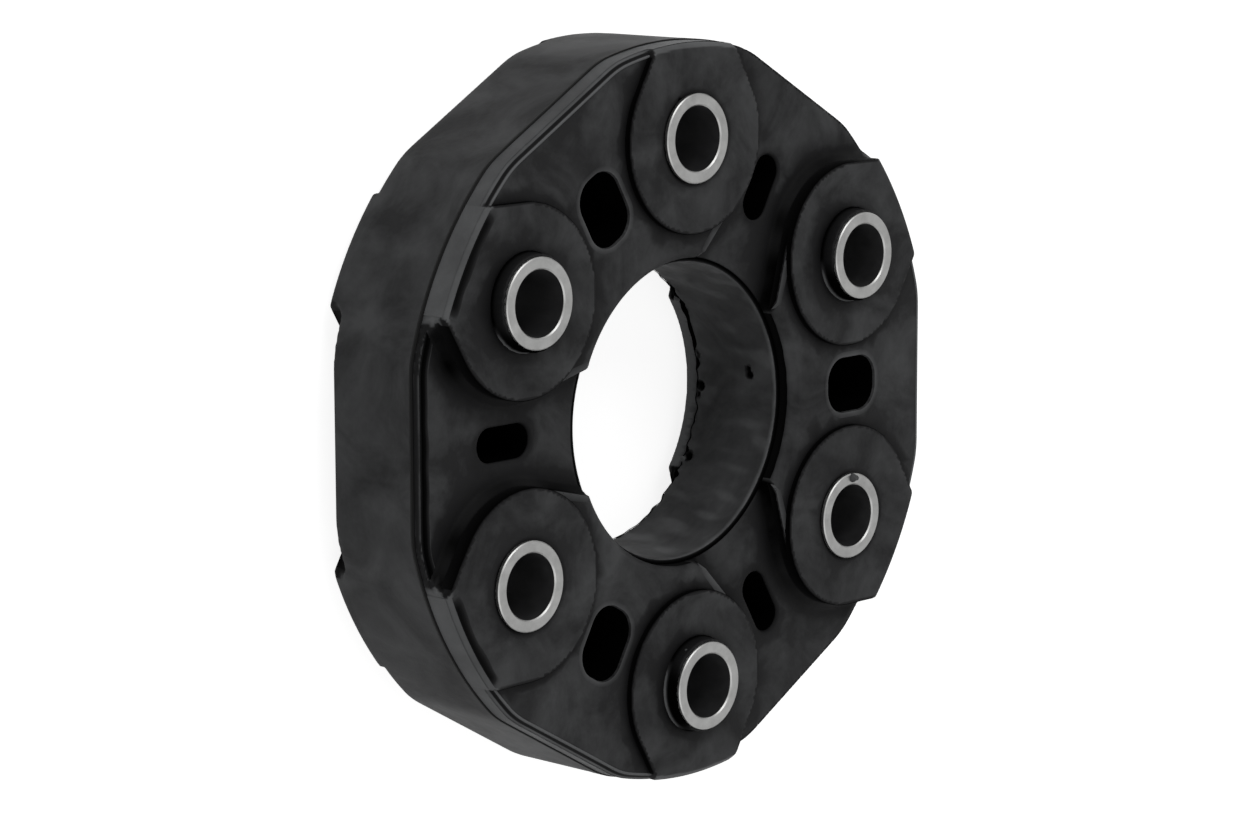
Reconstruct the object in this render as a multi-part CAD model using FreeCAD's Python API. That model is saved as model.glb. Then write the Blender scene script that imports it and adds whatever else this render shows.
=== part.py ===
import FreeCAD, Part
import math
import os

# Flex disc of a car's driveshaft: a moulded rubber disc that holds six steel bolt sleeves.
# Endless cord loops are wound round neighbouring sleeves inside the rubber and carry the torque.
# The disc lies flat. Its axis is Z, the origin is at its centre on the middle plane, the front
# face looks up (+Z) and sleeve 1 stands on +Y. Sleeves 1 to 6 follow clockwise seen from above.
# All sizes are in millimetres and degrees. Heights are measured from the middle plane.

# Bolt sleeves
SLEEVE_COUNT = 6
BOLT_CIRCLE = 105.0           # diameter through the six sleeve centres
SLEEVE_BORE = 12.5            # clears an M12 bolt
SLEEVE_WALL = 2.25
SLEEVE_SHORT = 16.0           # height of the end that is nearly flush with its pad
SLEEVE_LONG = 18.8            # height of the end that pilots in the shaft's flange

# Rubber body
PAD_RADIUS = 18.1
RIM_COVER = 0.3               # rubber from a pad's circle to the rim's round stretches
FLAT_DEPTH = 1.9              # the six flats between them lie this much further in
BORE = 57.2                   # centre bore, diameter
BORE_LAND = 10.4              # top of the bore's wall
BORE_STEP = 1.0               # the links' faces stand back from it by this
THIN_HEIGHT = 10.9            # floor of the pockets on the thin links
THICK_HEIGHT = 14.2           # top of the thick links
PAD_HEIGHT = 15.5             # top of the pads
PAD_SPREAD = 8.8              # half angle, seen from the centre, of a pad's edge on the rim
LINK_OVERRUN = 4.0            # angle past its sleeve at which a thick link ends at the bore
POCKET_FOOT = 2.5             # bevelled foot of the pocket walls
RIM_BEVEL = 1.4               # outer edges of pads and thick links

# Slots through the links
SLOT_SHIFT = 1.8              # a slot's middle, outwards from the line between two sleeves
WIDE_SLOT_LENGTH = 14.0       # radial, through the thick links
WIDE_SLOT_WIDTH = 10.8
WIDE_SLOT_CORNER = 4.6
NARROW_SLOT_LENGTH = 13.3     # radial, through the thin links
NARROW_SLOT_WIDTH = 6.5
NARROW_SLOT_CORNER = 3.2

# Cord loops wound round the sleeves, one layer on the next
LOOP_COVER = 0.8              # rubber between a loop's straight run and the end of a slot
LOOP_BAND = 3.5               # thickness of a loop's windings
MIDDLE_LOOP_HEIGHT = 9.2      # the one loop of a thin link
OUTER_LOOP_HEIGHT = 7.6       # each of the two loops of a thick link

STEP_ANGLE = 360.0 / SLEEVE_COUNT
FIRST_ANGLE = 90.0
BOLT_RADIUS = BOLT_CIRCLE / 2
CHORD_RADIUS = BOLT_RADIUS * math.cos(math.radians(STEP_ANGLE / 2))
SLEEVE_INNER = SLEEVE_BORE / 2
SLEEVE_OUTER = SLEEVE_INNER + SLEEVE_WALL
RIM_RADIUS = BOLT_RADIUS + PAD_RADIUS + RIM_COVER
BORE_RADIUS = BORE / 2
SLOT_RADIUS = CHORD_RADIUS + SLOT_SHIFT
LOOP_INNER = SLOT_SHIFT + max(WIDE_SLOT_LENGTH, NARROW_SLOT_LENGTH) / 2 + LOOP_COVER
LOOP_OUTER = LOOP_INNER + LOOP_BAND
MIDDLE_LOOP_TOP = MIDDLE_LOOP_HEIGHT / 2
OUTER_LOOP_TOP = MIDDLE_LOOP_TOP + OUTER_LOOP_HEIGHT
FLATNESS = 0.01               # how nearly level an edge must lie to count as flat
UP = FreeCAD.Vector(0, 0, 1)
CENTRE = FreeCAD.Vector(0, 0, 0)


def polar(radius, angle, z=0.0):
    a = math.radians(angle)
    return FreeCAD.Vector(radius * math.cos(a), radius * math.sin(a), z)


def sleeve_angle(number):
    """Angle of a sleeve's centre line. Numbers run clockwise from 1 and wrap round."""
    return FIRST_ANGLE - STEP_ANGLE * (number - 1)


def sleeve_numbers():
    return range(1, SLEEVE_COUNT + 1)


def sleeve_place(number):
    return polar(BOLT_RADIUS, sleeve_angle(number))


def link_angle(number):
    """Angle half way from a sleeve to the next."""
    return sleeve_angle(number) - STEP_ANGLE / 2


def next_sleeve(number):
    return number % SLEEVE_COUNT + 1


def prism(wire, bottom, top):
    """A closed flat wire drawn at z = 0, as a solid from bottom to top."""
    face = Part.Face(wire)
    face.translate(UP * bottom)
    return face.extrude(UP * (top - bottom))


def cylinder(radius, bottom, top, place=CENTRE):
    return Part.makeCylinder(radius, top - bottom, place + UP * bottom)


def mirrored(solid):
    """The same piece on the rear face."""
    return solid.mirror(CENTRE, UP)


def line(start, end):
    return Part.LineSegment(start, end).toShape()


def arc(start, middle, end):
    return Part.Arc(start, middle, end).toShape()


def rim_wire():
    """The disc's outline: an arc outside each sleeve and a flat between."""
    apothem = RIM_RADIUS - FLAT_DEPTH
    half_arc = STEP_ANGLE / 2 - math.degrees(math.acos(apothem / RIM_RADIUS))
    edges = []
    for number in sleeve_numbers():
        middle = sleeve_angle(number)
        start = polar(RIM_RADIUS, middle + half_arc)
        end = polar(RIM_RADIUS, middle - half_arc)
        following = polar(RIM_RADIUS, middle - STEP_ANGLE + half_arc)
        edges.append(arc(start, polar(RIM_RADIUS, middle), end))
        edges.append(line(end, following))
    return Part.Wire(edges)


def touch_point(corner, side):
    """Where a line from corner touches a pad's circle, in the frame of one sleeve.

    In that frame x runs out along the sleeve's centre line and y to its left. Side is 1 or -1
    and picks one of the two tangents.
    """
    dx = corner.x - BOLT_RADIUS
    dy = corner.y
    turn = side * math.acos(PAD_RADIUS / math.hypot(dx, dy))
    angle = math.atan2(dy, dx) + turn
    return FreeCAD.Vector(BOLT_RADIUS + PAD_RADIUS * math.cos(angle), PAD_RADIUS * math.sin(angle), 0)


def run_on(start, through, extra):
    """The point that lies past through, seen from start, by the length extra."""
    direction = through - start
    direction.normalize()
    return through + direction * extra


def flank_points():
    """Left flank of a pad and link in one sleeve's frame, from outside the rim into the bore."""
    rim_corner = polar(RIM_RADIUS, PAD_SPREAD)
    bore_corner = polar(BORE_RADIUS, LINK_OVERRUN)
    rim_touch = touch_point(rim_corner, 1)
    bore_touch = touch_point(bore_corner, -1)
    outer_end = run_on(rim_touch, rim_corner, PAD_RADIUS)
    inner_end = run_on(bore_touch, bore_corner, BORE_RADIUS / 4)
    side = FreeCAD.Vector(BOLT_RADIUS, PAD_RADIUS, 0)
    return [outer_end, rim_touch, side, bore_touch, inner_end]


def placed(points, number, flip=False):
    """Points of one sleeve's frame at that sleeve, mirrored in its centre line if flip."""
    turn = FreeCAD.Rotation(UP, sleeve_angle(number))
    return [turn.multVec(FreeCAD.Vector(p.x, -p.y if flip else p.y, p.z)) for p in points]


def pad_wire(number):
    """A pad: round on the inside, with straight edges that run out past the rim."""
    outer_end, rim_touch = flank_points()[:2]
    left_end, left = placed([outer_end, rim_touch], number)
    right_end, right = placed([outer_end, rim_touch], number, flip=True)
    innermost = polar(BOLT_RADIUS - PAD_RADIUS, sleeve_angle(number))
    return Part.Wire([
        line(left_end, left),
        arc(left, innermost, right),
        line(right, right_end),
        line(right_end, left_end),
    ])


def link_wire(number):
    """A thick link from a sleeve to the next, with the far flanks of both pads as its sides."""
    near = placed(flank_points(), number)
    far = placed(flank_points(), next_sleeve(number), flip=True)
    outside = polar(RIM_RADIUS + 2 * PAD_RADIUS, link_angle(number))
    return Part.Wire([
        line(outside, near[0]),
        line(near[0], near[1]),
        arc(near[1], near[2], near[3]),
        line(near[3], near[4]),
        line(near[4], far[4]),
        line(far[4], far[3]),
        arc(far[3], far[2], far[1]),
        line(far[1], far[0]),
        line(far[0], outside),
    ])


def thick_links():
    """The sleeves that a thick link starts from; the thin links start from the others."""
    return range(2, SLEEVE_COUNT + 1, 2)


def thin_links():
    return range(1, SLEEVE_COUNT + 1, 2)


def slot_cutter(number, length, width, corner, height):
    """Cutter of the slot through the link after a sleeve, round-cornered, long side radial."""
    foot = FreeCAD.Vector(SLOT_RADIUS - length / 2, -width / 2, -height)
    block = Part.makeBox(length, width, 2 * height, foot)
    upright = [e for e in block.Edges if e.BoundBox.ZLength > height]
    block = block.makeFillet(corner, upright)
    block.rotate(CENTRE, UP, link_angle(number))
    return block


def level_edges(shape, height):
    """The edges of a shape that lie flat at one height."""
    def flat(edge):
        box = edge.BoundBox
        return max(abs(box.ZMin - height), abs(box.ZMax - height)) < FLATNESS
    return [edge for edge in shape.Edges if flat(edge)]


def bevelled_outline(height):
    """The space inside the rim's side walls, with the outer bevel at the given height."""
    block = prism(rim_wire(), 0, height)
    return block.makeChamfer(RIM_BEVEL, level_edges(block, height))


def linked_slab():
    """Front half of the thin disc with the three thick links on it, walls bevelled at the foot.

    It is cut out oversize, so that the foot runs on past the rim and into the bore, and is
    trimmed to the outline afterwards.
    """
    oversize = RIM_RADIUS + 3 * PAD_RADIUS
    slab = cylinder(oversize, 0, THIN_HEIGHT)
    links = [prism(link_wire(n), 0, THICK_HEIGHT) for n in thick_links()]
    slab = slab.multiFuse(links).removeSplitter().Solids[0]
    feet = [e for e in level_edges(slab, THIN_HEIGHT) if e.Length < math.pi * oversize]
    slab = slab.makeChamfer(POCKET_FOOT, feet)
    return slab.common(bevelled_outline(THICK_HEIGHT))


def pad(number):
    """Front half of the rubber round one sleeve, up to its pad."""
    return prism(pad_wire(number), 0, PAD_HEIGHT).common(bevelled_outline(PAD_HEIGHT))


def rubber_blank():
    """The moulded body before anything is cut from it."""
    pads = [pad(n) for n in sleeve_numbers()]
    front = linked_slab().multiFuse(pads).removeSplitter()
    return front.fuse(mirrored(front)).removeSplitter()


def rubber_body(inner_pieces):
    """The rubber, moulded round the sleeves and the cord loops."""
    bore = cylinder(BORE_RADIUS, -PAD_HEIGHT, PAD_HEIGHT)
    front_step = cylinder(BORE_RADIUS + BORE_STEP, BORE_LAND, PAD_HEIGHT)
    steps = [front_step, mirrored(front_step)]
    wide = [slot_cutter(n, WIDE_SLOT_LENGTH, WIDE_SLOT_WIDTH, WIDE_SLOT_CORNER, THICK_HEIGHT)
            for n in thick_links()]
    narrow = [slot_cutter(n, NARROW_SLOT_LENGTH, NARROW_SLOT_WIDTH, NARROW_SLOT_CORNER, THIN_HEIGHT)
              for n in thin_links()]
    holes = [cylinder(SLEEVE_OUTER, -PAD_HEIGHT, PAD_HEIGHT, sleeve_place(n))
             for n in sleeve_numbers()]
    body = rubber_blank().cut([bore] + steps + wide + narrow + holes)
    return body.cut(inner_pieces)


def bolt_sleeve(number):
    """Steel tube. The even ones stand out at the front, the odd ones at the rear."""
    front = SLEEVE_LONG if number % 2 == 0 else SLEEVE_SHORT
    rear = SLEEVE_SHORT if number % 2 == 0 else SLEEVE_LONG
    place = sleeve_place(number)
    return cylinder(SLEEVE_OUTER, -rear, front, place).cut(cylinder(SLEEVE_INNER, -rear, front, place))


def loop_outline(number, radius, bottom, top):
    """Everything inside a band of that radius drawn round a sleeve and the next."""
    first, second = sleeve_place(number), sleeve_place(next_sleeve(number))
    along = second - first
    along.normalize()
    across = UP.cross(along) * radius
    ends = along * radius
    wire = Part.Wire([
        line(first + across, second + across),
        arc(second + across, second + ends, second - across),
        line(second - across, first - across),
        arc(first - across, first - ends, first + across),
    ])
    return prism(wire, bottom, top)


def cord_loop(number, bottom, top):
    """Endless band of cord wound round a sleeve and the next, with rubber between them."""
    band = loop_outline(number, LOOP_OUTER, bottom, top)
    return band.cut(loop_outline(number, LOOP_INNER, bottom, top))


def build():
    """Every piece by the name of its node."""
    pieces = {}
    for n in sleeve_numbers():
        pieces[f"bolt_sleeve_{n}"] = bolt_sleeve(n)
    for n in thin_links():
        pieces[f"cord_loop_middle_{n}"] = cord_loop(n, -MIDDLE_LOOP_TOP, MIDDLE_LOOP_TOP)
    for n in thick_links():
        front = cord_loop(n, MIDDLE_LOOP_TOP, OUTER_LOOP_TOP)
        pieces[f"cord_loop_front_{n}"] = front
        pieces[f"cord_loop_rear_{n}"] = mirrored(front)
    inner = [shape for name, shape in pieces.items() if not name.startswith("bolt")]
    pieces["rubber_body"] = rubber_body(inner)
    return pieces


os.makedirs("parts", exist_ok=True)
for name, shape in build().items():
    shape.exportStep(f"parts/{name}.step")
    print(f"{name}: {len(shape.Solids)} solid, {shape.Volume / 1000:.2f} cm3, valid {shape.isValid()}")
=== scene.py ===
import math

import bpy
import numpy as np
from bpy.props import FloatProperty, FloatVectorProperty, IntProperty, PointerProperty
from mathutils import Matrix, Vector


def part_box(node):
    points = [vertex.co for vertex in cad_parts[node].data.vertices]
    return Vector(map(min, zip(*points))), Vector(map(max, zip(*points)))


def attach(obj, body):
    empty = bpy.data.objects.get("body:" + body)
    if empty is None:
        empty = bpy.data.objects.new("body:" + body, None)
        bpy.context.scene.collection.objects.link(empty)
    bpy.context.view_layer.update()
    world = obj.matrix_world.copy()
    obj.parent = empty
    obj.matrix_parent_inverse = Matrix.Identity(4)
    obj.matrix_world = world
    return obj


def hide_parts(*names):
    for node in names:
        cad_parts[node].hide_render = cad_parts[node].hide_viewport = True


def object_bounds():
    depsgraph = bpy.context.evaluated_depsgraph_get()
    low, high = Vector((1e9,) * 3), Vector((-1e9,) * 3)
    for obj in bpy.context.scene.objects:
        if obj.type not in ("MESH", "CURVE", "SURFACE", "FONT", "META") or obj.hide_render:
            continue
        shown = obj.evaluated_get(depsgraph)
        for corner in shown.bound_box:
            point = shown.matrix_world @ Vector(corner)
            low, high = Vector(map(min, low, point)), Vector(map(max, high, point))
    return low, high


bl_info = {
    "name": "Flex disc",
    "version": (1, 0, 0),
    "blender": (4, 5, 0),
    "location": "3D View > Sidebar > Flex disc",
    "description": "Moulded rubber, steel sleeves, finishes and stage for a driveshaft flex disc",
    "category": "Object",
}

# The frame's own sizes. Shapes are worked out in millimetres and put into the mesh in metres.
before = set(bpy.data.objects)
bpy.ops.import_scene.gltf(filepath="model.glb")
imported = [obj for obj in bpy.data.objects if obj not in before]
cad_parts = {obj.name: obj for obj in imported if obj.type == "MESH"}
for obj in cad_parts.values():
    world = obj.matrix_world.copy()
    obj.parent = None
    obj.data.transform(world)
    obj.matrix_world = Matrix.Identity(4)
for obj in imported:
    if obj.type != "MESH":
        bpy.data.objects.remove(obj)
CAD_BOX = [list(corner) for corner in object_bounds()]
MM = 0.001
RUBBER_LOW, RUBBER_HIGH = (np.array(corner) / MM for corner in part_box("rubber_body"))
SLEEVE_LOW, SLEEVE_HIGH = (np.array(corner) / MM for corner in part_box("bolt_sleeve_1"))
SLEEVE_COUNT = sum(name.startswith("bolt_sleeve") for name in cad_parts)
STEP_ANGLE = 360.0 / SLEEVE_COUNT
BOLT_RADIUS = (SLEEVE_LOW[1] + SLEEVE_HIGH[1]) / 2
SLEEVE_OUTER = (SLEEVE_HIGH[0] - SLEEVE_LOW[0]) / 2
PAD_TOP = RUBBER_HIGH[2]
RIM_ARC = RUBBER_HIGH[1]
RIM_FLAT = RUBBER_HIGH[0]
STANDING_END = -SLEEVE_LOW[2]     # sleeve 1 stands out at the rear
RIM_SKIN = 0.05                   # keeps the skin inside the frame's box
SLEEVE_SINK = 0.2                 # the rubber's holes lie this deep in the steel
RIM_ROUND = 0.6                   # rounding in plan where the rim's arcs meet its flats
LAND_WAVER = 0.35                 # how far the ragged rear edge of the bore's wall wavers
FOOT_OVERLAP = 0.1                # how far a wall's lining starts below the top of the wall's foot
SHARP_RUBBER, SHARP_STEEL = math.radians(42), math.radians(30)
IMAGE_WIDTH = 1248

# Damage: x, y, z and radius of small lumps of flash, and of pits and tears, in millimetres
FLASH_LUMPS = (
    (45.6, -18.6, 16.0, 0.9), (46.7, -18.8, 16.0, 0.6), (-4.6, -45.2, 17.0, 0.5),
    (-3.4, -44.6, 17.6, 0.4), (23.0, 17.4, -10.6, 0.7), (24.4, -15.2, -10.4, 0.6),
)
PITS = (
    (-4.4, 60.1, 15.5, 0.45), (28.4, 2.9, 3.8, 0.7), (28.4, 4.1, 3.6, 0.5), (28.5, -0.7, -9.3, 0.9),
    (28.4, -2.4, -9.9, 0.5), (24.6, -14.4, -9.2, 0.9), (27.9, 5.6, -9.9, 0.6),
)
COLLAR_LIT_FOOT_BEARINGS = (245, 235, 245, 195, 245, 255)     # bearings where the collars' feet get a painted highlight, in degrees

# Painted shade and painted light on the rubber, and some wear, kept as an attribute: 1 black with
# painted shade, 0 clean, -1 painted pale.
# Each shade has a strength and a reach in millimetres over which it falls off.
SHADE = "shade"
WALL_SHADE, WALL_REACH = 0.9, 2.2           # on a pocket's floor, from its walls
BELOW_WALL, ABOVE_WALL = 0.4, 0.25          # how much weaker that is below and above a sleeve
PAD_SHADE, PAD_REACH = 0.6, 0.9             # on the thick links, beside the pads
SLOT_SHADE, SLOT_REACH = 0.45, 1.2          # round the narrow slots
SLEEVE_SHADE, SHADE_LEFT = 0.4, 0.7         # round the sleeves, and how much stronger left of them
STANDING_REACH, SUNK_REACH = 1.6, 0.7       # round sleeves that stand out, and round the others
LIP_SHADE = 0.45                            # on the rim's bevel over a pocket
# Painted light on the rim's wall above the mould line and painted highlight on the bore's front lip;
# the bore's smears and the flash lumps are paler with wear
SHOULDER_LIGHT, LIP_HIGHLIGHT, SMEAR_WEAR, LUMP_WEAR = 0.5, 0.55, 0.3, 0.4
LINED_WALL = (0.7, 0.95)                    # painted shade on a wall's lining, at its foot and at its top
EDGE_LIFT = np.array([-0.03, 0.03, 0.03])   # edges painted pale with highlight and wear: three lines of points, over the face
COLLAR_SHADE = np.array([1.0, 1.0, 0.6, 0.45, 0.2, 0.2])      # painted shade on a collar, from foot to lip, black at its foot
COLLAR_LIT_FOOT_SHADE = np.array([-0.6, -0.6, 1.0, 1.0, 1.0, 1.0])      # and on the side with a painted highlight on its foot

# Lamps: place and width in metres
LAMPS = {"key": ((-0.15, 1.0, 0.75), 0.7), "fill": ((-0.75, -0.55, 0.65), 0.9)}
FLOOR_HALF = 4.0
FLOOR_GLOW = 0.85                           # lifts the floor to white for the camera


def srgb(code):
    """Linear colour of an sRGB hex value."""
    parts = [int(code[i:i + 2], 16) / 255 for i in (1, 3, 5)]
    return [p / 12.92 if p <= 0.04045 else ((p + 0.055) / 1.055) ** 2.4 for p in parts]


def length(name, description, millimetres):
    """Setting for a length, given in millimetres."""
    return FloatProperty(name=name, description=description, default=millimetres * MM,
                         min=0.0, unit="LENGTH", precision=5)


def colour(name, description, code):
    """Setting for a colour, given as an sRGB hex value."""
    return FloatVectorProperty(name=name, description=description, default=srgb(code),
                               subtype="COLOR", size=3, min=0.0, max=1.0)


class FlexDiscRubber(bpy.types.PropertyGroup):
    """Sizes of the moulded body."""

    bore_radius: length("Bore radius", "Radius of the centre bore", 28.6)
    bore_land: length("Bore land", "Top of the bore's wall above the middle plane", 10.4)
    bore_step: length("Bore step", "How far the link ends stand back from the bore's wall", 1.0)
    thin_height: length("Thin link height", "Pocket floor above the middle plane", 10.9)
    thick_height: length("Thick link height", "Top of a thick link above the middle plane", 14.2)
    pad_radius: length("Pad radius", "Radius of the round pads", 18.1)
    pad_corner: length("Pad corner", "Half width of a pad where it meets the rim", 10.85)
    bore_corner: length("Link corner", "How far a thick link runs on past its sleeve at the bore", 2.0)
    pocket_foot: length("Pocket foot", "Bevel between a pocket's wall and its floor", 1.6)
    rim_bevel: length("Rim bevel", "Bevel on the outer edge of pads and thick links", 1.0)
    edge_round: length("Edge rounding", "Rounding of the moulded edges", 0.35)
    mouth_round: length("Mouth rounding", "Rounding of the slots' mouths and the bore's edge", 0.55)
    bore_bevel: length("Bore bevel", "Bevel on the thick links' ends above the bore", 1.3)
    parting_height: length("Mould line height", "Mould lines on the rim, from the middle plane", 9.2)
    parting_step: length("Mould step", "How far the wall steps in above the mould line", 0.25)
    # The pocket's dark line along the rim and the pads' dark creases are painted shade
    lip_width: length("Lip width", "Clean edge along the rim of a pocket, outside its dirty line", 0.35)
    dirt_width: length("Dirt width", "Width of that line", 2.2)
    crease_width: length("Crease width", "Width of the dark crease inside a pad's bevel", 1.6)
    slot_radius: length("Slot radius", "From the disc's centre to the middle of a slot", 47.27)
    wide_length: length("Wide slot length", "Radial length of a slot in a thick link", 14.0)
    wide_width: length("Wide slot width", "Width of a slot in a thick link", 10.8)
    wide_corner: length("Wide slot corner", "Corner radius of a wide slot", 4.6)
    narrow_length: length("Narrow slot length", "Radial length of a slot in a thin link", 13.3)
    narrow_width: length("Narrow slot width", "Width of a slot in a thin link", 6.5)
    narrow_corner: length("Narrow slot corner", "Corner radius of a narrow slot", 3.2)
    relief_radius: length("Relief radius", "Shallow ring sunk round each sleeve", 9.1)
    relief_depth: length("Relief depth", "Depth of that ring below the pad", 0.3)
    collar: length("Collar", "Thickness of the rubber drawn up round a standing sleeve", 0.5)
    collar_foot: length("Collar foot", "How far the collar spreads on the pad", 0.9)
    collar_bare: length("Bare end", "Steel left bare above the collar", 0.7)
    # The dark linings are sheets of painted shade
    lining_gap: length("Lining gap", "How far the dark linings stand off the skin", 0.06)
    lining_edge: length("Lining edge", "Wall left bare between a lining and the edge above it", 0.28)
    grid_step: length("Grid step", "Spacing of the grid that the skin is cut from", 0.5)
    triangle_limit: IntProperty(name="Triangles", description="Triangles left after thinning",
                                default=190000, min=1000)


class FlexDiscSleeves(bpy.types.PropertyGroup):
    """Sizes of the steel sleeves."""

    bore_radius: length("Sleeve bore", "Inner radius of a sleeve", 6.25)
    chamfer: length("Sleeve chamfer", "Chamfer on the outer edge of an end face", 0.2)
    inner_chamfer: length("Bore chamfer", "Chamfer at the mouth of the bore", 0.25)
    segments: IntProperty(name="Segments", description="Steps round a sleeve", default=144, min=12)


class FlexDiscFinish(bpy.types.PropertyGroup):
    """Colours of the finishes."""

    rubber: colour("Rubber", "Clean moulded rubber", "#1a1a1b")
    # Worn rubber also gives the colour of painted light, and shaded rubber is the black of painted
    # shade
    rubber_worn_and_lit: colour("Worn rubber", "Rubber rubbed pale and dusty", "#616263")
    rubber_painted_shade: colour("Shaded rubber", "Black rubber in slots, corners and mould lines", "#030303")
    steel_end: colour("Sleeve end", "Turned end face of a sleeve", "#989897")
    steel_bore: colour("Sleeve bore", "Oxidised inside of a sleeve", "#414142")
    flash: colour("Flash", "Thin flash, rubbed pale", "#5e5f60")
    cord: colour("Cord", "Polyester cord", "#a89f8c")
    floor: colour("Floor", "Plain pale floor", "#bdbdbd")


class FlexDiscStage(bpy.types.PropertyGroup):
    """Camera and light."""

    focal_pixels: FloatProperty(name="Focal length", default=3939.2,
                                description="Focal length in pixels of the photograph")
    camera_from: FloatVectorProperty(name="Camera", description="Where the camera stands",
                                     default=(-0.5465, 0.1259, 0.5118), subtype="TRANSLATION")
    camera_to: FloatVectorProperty(name="Aim", description="The point in the middle of the picture",
                                   default=(-0.0037, -0.0017, 0.0), subtype="TRANSLATION")
    camera_roll: FloatProperty(name="Roll", description="Turn of the camera about its line of sight",
                               default=math.radians(-98.83), subtype="ANGLE")
    sky: FloatProperty(name="Sky", description="Strength of the even light", default=0.32)
    key: FloatProperty(name="Key light", description="Power of the main lamp",
                       default=7.0, unit="POWER")
    fill: FloatProperty(name="Fill light", description="Power of the lamp on the other side",
                        default=3.0, unit="POWER")


def smooth_max(a, b, rounding):
    """The larger of a and b, with a parabola of the given width where they are nearly equal."""
    overlap = np.maximum(rounding - np.abs(a - b), 0) / rounding
    return np.maximum(a, b) + overlap * overlap * rounding / 4


def smooth_min(a, b, rounding):
    """The smaller of a and b, rounded in the same way."""
    return -smooth_max(-a, -b, rounding)


def bevel_max(a, b, leg, rounding):
    """Both a and b inside, with the corner between them cut at 45 degrees by a bevel of that leg."""
    cut = (a + b + leg) * math.sqrt(0.5)
    return smooth_max(np.maximum(a, b), cut, rounding)


def bevel_min(a, b, leg, rounding):
    """Either a or b inside, with the corner between them filled at 45 degrees."""
    return -bevel_max(-a, -b, leg, rounding)


def turned(x, y, degrees):
    """Coordinates along and across a direction at that angle."""
    c, s = math.cos(math.radians(degrees)), math.sin(math.radians(degrees))
    return x * c + y * s, y * c - x * s


def flank_bearings(size):
    """Bearings from a sleeve: of a pad's corner at the rim and of a thick link's at the bore.

    Each comes with the bearing at which the straight flank to that corner leaves the pad's circle.
    """
    rim, bore = math.sqrt(RIM_ARC ** 2 - size["pad_corner"] ** 2), size["bore_radius"]
    corners = (rim - BOLT_RADIUS, size["pad_corner"], 1), (bore - BOLT_RADIUS, size["bore_corner"], -1)
    return [(math.atan2(y, x),
             math.atan2(y, x) + side * math.acos(size["pad_radius"] / math.hypot(x, y)))
            for x, y, side in corners]


def slot_core(size, kind):
    """Half length and half width of a slot's straight core, and the slot's corner radius."""
    corner = size[kind + "_corner"]
    return size[kind + "_length"] / 2 - corner, size[kind + "_width"] / 2 - corner, corner


def slot_distance(along, across, size, kind):
    """Distance from a round-cornered slot: that of its straight core, less the corner radius."""
    half_length, half_width, corner = slot_core(size, kind)
    dx = np.abs(along - size["slot_radius"]) - half_length
    dy = np.abs(across) - half_width
    outside = np.hypot(np.maximum(dx, 0), np.maximum(dy, 0))
    return outside + np.minimum(np.maximum(dx, dy), 0) - corner


def rim_distance(radius, fx, thin_along):
    """Distance from the rim's outline: an arc outside each sleeve and a flat over each link."""
    flat = np.maximum(fx, thin_along) - RIM_FLAT + RIM_SKIN
    return smooth_max(radius - RIM_ARC + RIM_SKIN, flat, RIM_ROUND)


def folded(x, y):
    """Folds the disc into one sixth: radius, and x and y with the middle of a thick link on x.

    The sleeve is then at half of STEP_ANGLE and the middle of the thin link at STEP_ANGLE.
    """
    period = 2 * STEP_ANGLE
    radius = np.hypot(x, y)
    angle = np.degrees(np.arctan2(y, x)) % period
    angle = np.radians(np.minimum(angle, period - angle))
    return radius, radius * np.cos(angle), radius * np.sin(angle)


def plan_distances(x, y, size):
    """Flat distances from the outlines of rim, pad, thick link, both slots, sleeve and bore."""
    radius, fx, fy = folded(x, y)
    thin_along, thin_across = turned(fx, fy, STEP_ANGLE)
    rim = rim_distance(radius, fx, thin_along)
    u, v = turned(fx, fy, STEP_ANGLE / 2)
    u = u - BOLT_RADIUS
    from_sleeve = np.hypot(u, v)
    (_, outer), (_, inner) = flank_bearings(size)
    outer_side = u * math.cos(outer) + np.abs(v) * math.sin(outer)
    around = np.arctan2(np.abs(v), u)
    pad = np.where(around < outer, outer_side, from_sleeve) - size["pad_radius"]
    flank = np.maximum(u * math.cos(outer) + v * math.sin(outer),
                       u * math.cos(inner) + v * math.sin(inner))
    bearing = np.arctan2(v, u)
    on_arc = (bearing > outer) & (bearing < inner)
    link = np.where(on_arc, from_sleeve, flank) - size["pad_radius"]
    slot = np.minimum(slot_distance(fx, fy, size, "wide"),
                      slot_distance(thin_along, thin_across, size, "narrow"))
    return {"rim": rim, "pad": pad, "link": link, "slot": slot,
            "sleeve": from_sleeve - SLEEVE_OUTER, "bore": size["bore_radius"] - radius}


def ragged(angle, seed, waves=14):
    """Uneven line in -1 to 1 round the disc: a sum of sines that repeat once a turn."""
    rng = np.random.default_rng(seed)
    total = 0.0
    for turns in rng.integers(5, 70, waves):
        total = total + np.sin(angle * turns + rng.uniform(0, 2 * math.pi)) / waves
    return total * 3


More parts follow.
